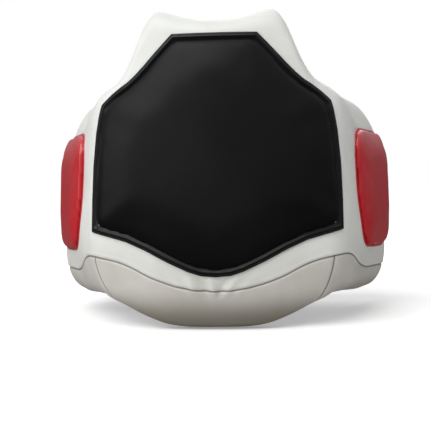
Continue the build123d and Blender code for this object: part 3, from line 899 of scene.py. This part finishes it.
def rounded(outline, radius, corners, steps=7):
    """Round the listed corners of an outline."""
    spots = []
    for number, here in enumerate(outline):
        if number not in corners:
            spots.append(here)
            continue
        here = Vector(here)
        before = (Vector(outline[number - 1]) - here).normalized()
        after = (Vector(outline[(number + 1) % len(outline)]) - here).normalized()
        start, end = here + before * radius, here + after * radius
        for i in range(steps + 1):
            t = i / steps
            spots.append(tuple((1 - t) ** 2 * start + 2 * t * (1 - t) * (here * 0.9 + (start + end) * 0.05)
                               + t * t * end))
    return spots


half = [(38, 77.5), (66, 90), (96, 105), (124, 116.5), (150, 123), (177, 129), (177.5, 172), (176, 217),
        (171, 262), (163, 302), (148, 315), (134, 324), (123, 331), (111, 341), (98, 354), (85, 368),
        (59, 395)]
front_outline = ([(-x, z) for x, z in half] + [(x, z) for x, z in reversed(half)]
                 + [(20, 72), (0, 70.5), (-20, 72)])
FRONT_CORNERS = (5, 9, 16, 17, 24, 28)
BORDER = [(0, -0.6), (0, 1.4), (0.7, 2.5), (2.6, 2.6), (3.8, 2.6), (4.6, 3.3), (5.6, 3.4), (6.6, 2.5),
          (8.0, 1.4), (11.5, 1.0), (11.5, -0.6)]
border = band("front_target_border_leather", front_outline, BORDER)
dress(border, PIPING)
smooth(border, 60)
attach(border, "front")
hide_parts("front_target_border")
front_pillow_line = rounded(inset(front_outline, 8.6), 12, FRONT_CORNERS)
face = pillow("front_target_pillow", front_pillow_line, 8, 4.0, 3.0, 6, 6, 40)
lay_on_face(face, 0.6)
dress(face, BLACK)
smooth(face, 60)
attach(face, "front")
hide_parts("front_target_cover", "front_target_foam")
thread = stitches("front_target_stitching", front_outline, 2.2, 2.75, 3.6, 2.9, 0.7, THREAD)
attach(thread, "front")

side_corners = [(258, 99), (239, 158), (230, 270), (392, 268), (390, 92), (310, 95)]
side_outline = rounded(rounded(side_corners, 24, (0, 1)), 40, (16, 17, 18))
SIDE_BORDER = [(0, -0.5), (0, 0.9), (0.6, 1.5), (2.2, 1.6), (4.5, 1.2), (6.5, 0.8), (6.5, -0.5)]
for side, word in ((1, "right"), (-1, "left")):
    line = side_outline if side > 0 else [(-x, z) for x, z in reversed(side_outline)]
    border = band(word + "_target_border_leather", line, SIDE_BORDER)
    dress(border, RED)
    smooth(border, 60)
    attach(border, word + "_wing")
    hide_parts(word + "_target_border")
    face = pillow(word + "_target_pillow", inset(line, 3.0), 9, 3.5, 3.0, 5, 6, 10)
    lay_on_face(face, 0.5)
    dress(face, RED)
    smooth(face, 60)
    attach(face, word + "_wing")
    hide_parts(word + "_target_cover", word + "_target_foam")


# ---- harness ----
STRIP_EDGE = 0.35             # easing of a strip's edges
STRIP_CUTS = 11               # how often its long edges are divided
LONG_EDGE = 0.012             # the least length of a long edge, in metres
BEND_LAP, BEND_BACK, BEND_ON = 6, 2, 10     # how far a bend lies on the anchor, and about its hinge
BEND_THICK = 3.2


def from_part(node, name):
    """Webbing or strip in the place of a plain part: its edges eased, its long edges divided."""
    copy = frame["nodes"][node].copy()
    copy.data = copy.data.copy()
    copy.modifiers.clear()
    for key in list(copy.keys()):
        del copy[key]
    copy.parent = None
    bpy.context.scene.collection.objects.link(copy)
    copy.matrix_world = Matrix.Identity(4)
    copy.name = copy.data.name = name
    edit(copy)
    bpy.ops.mesh.remove_doubles(threshold=0.00002)
    bpy.ops.mesh.dissolve_limited(angle_limit=radians(4))
    bpy.ops.mesh.select_all(action="SELECT")
    bpy.ops.mesh.bevel(affect="EDGES", offset=STRIP_EDGE * MM, segments=2)
    bpy.ops.mesh.select_all(action="DESELECT")
    done()
    for run in copy.data.edges:
        start, end = (copy.data.vertices[i].co for i in run.vertices)
        run.select = (start - end).length > LONG_EDGE
    edit(copy, None)
    bpy.ops.mesh.select_mode(type="EDGE")
    bpy.ops.mesh.subdivide(number_cuts=STRIP_CUTS)
    done()
    return copy


def map_strip(piece, across, along):
    """Lay the weave along the strip."""
    spots = points(piece)
    uv = np.stack([spots @ np.array(across), spots @ np.array(along)], axis=1)
    layer = piece.data.uv_layers.active or piece.data.uv_layers.new(name="pattern")
    corners = np.empty(len(piece.data.loops), dtype=np.int32)
    piece.data.loops.foreach_get("vertex_index", corners)
    layer.data.foreach_set("uv", uv[corners].ravel())


def webbing_bend(name, anchor, across, ahead, joint_name, onward):
    """Doubled webbing that turns from the end of a stitched anchor into the strap hinged there."""
    joint = next(j for j in frame["record"]["behaviour"]["joints"] if j["name"] == joint_name)
    pivot, onward = Vector(joint["pos_m"]), Vector(onward)
    spots = points(frame["nodes"][anchor])
    edges = []
    for level in (spots[:, across].min(), spots[:, across].max()):
        row = spots[np.abs(spots[:, across] - level) < 0.0002]
        far = row @ np.array(ahead)
        edge = Vector(row[far > far.max() - 0.0002].mean(axis=0))
        hinge = pivot.copy()
        hinge[across] = level
        edges.append([edge - ahead * BEND_LAP * MM, edge + ahead * BEND_LAP * MM,
                      hinge - onward * BEND_BACK * MM, hinge + onward * BEND_ON * MM])
    edges = np.array(edges)
    bpy.ops.object.select_all(action="DESELECT")
    bpy.ops.mesh.primitive_grid_add(x_subdivisions=18, y_subdivisions=4, size=2)
    piece = named(name)
    flat = (points(piece) + 1) / 2
    t, w = flat[:, :1], flat[:, 1:2]
    weights = np.concatenate([(1 - t) ** 3, 3 * t * (1 - t) ** 2, 3 * t * t * (1 - t), t ** 3], axis=1)
    move_to(piece, (1 - w) * (weights @ edges[0]) + w * (weights @ edges[1]))
    apply(piece, "SOLIDIFY", thickness=BEND_THICK * MM, offset=0)
    outward(piece)
    edit(piece)
    bpy.ops.mesh.bevel(affect="EDGES", offset=0.2 * MM, segments=1)
    done()
    map_strip(piece, (1, 0, 0) if across == 0 else (0, 0, 1), (0, 1, 1) if across == 0 else (1, 1, 0))
    dress(piece, WEBBING)
    smooth(piece, 40)
    middle = (edges[0] + edges[1]) / 2
    start, end = (middle[0] + middle[1]) / 2, (middle[2] + middle[3]) / 2
    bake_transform(piece, joint["parent"], joint["child"], start, end)


HARNESS = (("strap_anchor", "front", WEBBING, "webbing"), ("ring_tab", "wing", WEBBING, "webbing"),
           ("belt_anchor", "wing", WEBBING, "webbing"), ("shoulder_strap", "strap", WEBBING, "webbing"),
           ("strap_hook", "strap", HOOKS, "hook_and_loop"),
           ("strap_loop", "strap", HOOKS, "hook_and_loop"),
           ("waist_belt", "belt", WEBBING, "webbing"), ("belt_patch", "belt", HOOKS, "hook_and_loop"))
for word, side in (("left", -1), ("right", 1)):
    ahead = (side * cos(WING_TURN), sin(WING_TURN), 0)
    for kind, body, material, slot in HARNESS:
        node = word + "_" + kind
        body = body if body == "front" else word + "_" + body
        piece = from_part(node, node + "_piece")
        if kind in ("strap_anchor", "shoulder_strap", "strap_hook", "strap_loop"):
            map_strip(piece, (1, 0, 0), (0, 0.2, 1))
        else:
            map_strip(piece, (0, 0, 1), (1, 1, 0) if kind in ("waist_belt", "belt_patch") else ahead)
        dress(piece, material)
        smooth(piece, 40)
        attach(piece, body)
        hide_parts(node)
    webbing_bend(word + "_belt_bend", word + "_belt_anchor", 2, Vector(ahead),
                 word + "_belt_swing", (-side, 0, 0))
    webbing_bend(word + "_strap_bend", word + "_strap_anchor", 0, axis_lean,
                 word + "_strap_swing", (0, 0, -1))
    ring = frame["nodes"][word + "_strap_ring"]
    for holder in ring.material_slots:
        holder.material = STEEL

# ---- floor and light ----
bpy.ops.object.select_all(action="DESELECT")
bpy.ops.mesh.primitive_plane_add(size=60, location=(0, 0, -0.001))
floor = named("floor")
pale, pale_shader = finish_of("pale floor", 1.0, specular=0.0)
floor_nodes, floor_link = pale.node_tree.nodes, pale.node_tree.links.new
path = floor_nodes.new("ShaderNodeLightPath")
# the floor looks darker in the vest's gloss, and a little brighter to the camera
for way, socket, stops in (("Is Glossy Ray", "Base Color", ((0.0, (0.86,) * 3), (1.0, (0.10,) * 3))),
                           ("Is Camera Ray", "Emission Color", ((0.0, (0.0,) * 3), (1.0, (0.25,) * 3)))):
    floor_link(ramp(floor_nodes, floor_link, path.outputs[way], stops), pale_shader.inputs[socket])
pale_shader.inputs["Emission Strength"].default_value = 1.0
floor.data.materials.append(pale)
world = bpy.data.worlds.new("studio")
world.use_nodes = True
sky = world.node_tree.nodes
join = world.node_tree.links.new
up = sky.new("ShaderNodeSeparateXYZ")
join(sky.new("ShaderNodeTexCoord").outputs["Generated"], up.inputs[0])
lit = ramp(sky, join, up.outputs["Z"], ((0.0, (0.08,) * 3), (0.35, (0.20, 0.205, 0.21)), (1.0, (0.70,) * 3)))
shine = ramp(sky, join, up.outputs["Z"], ((0.0, (0.06,) * 3), (0.35, (0.48, 0.50, 0.51)), (1.0, (1.0,) * 3)))
ray = sky.new("ShaderNodeLightPath")
glossy = sky.new("ShaderNodeMix")
glossy.data_type = "RGBA"
join(ray.outputs["Is Glossy Ray"], glossy.inputs["Factor"])
join(lit, glossy.inputs["A"])
join(shine, glossy.inputs["B"])
seen = sky.new("ShaderNodeMix")
seen.data_type = "RGBA"
join(ray.outputs["Is Camera Ray"], seen.inputs["Factor"])
join(glossy.outputs["Result"], seen.inputs["A"])
seen.inputs["B"].default_value = (1.0, 1.0, 1.0, 1)
join(seen.outputs["Result"], sky["Background"].inputs["Color"])
bpy.context.scene.world = world
bpy.ops.object.light_add(type="SUN")
sun = named("soft sun")
sun.data.angle = radians(50)
sun.data.energy = 1.9
sun.rotation_euler = Vector((0.42, 0.62, -1.0)).to_track_quat("-Z", "Y").to_euler()
for name, spot, aim, size, power in (("side light", (-1.6, -1.0, 0.9), (0, 0, 0.2), 1.0, 6),
                                     ("back light", (0.3, 1.8, 1.7), (0, 0, 0.2), 1.6, 9)):
    bpy.ops.object.light_add(type="AREA", location=spot)
    lamp = named(name)
    lamp.data.size = size
    lamp.data.energy = power
    lamp.rotation_euler = (Vector(aim) - Vector(spot)).to_track_quat("-Z", "Y").to_euler()
bpy.context.scene.view_settings.view_transform = "Standard"
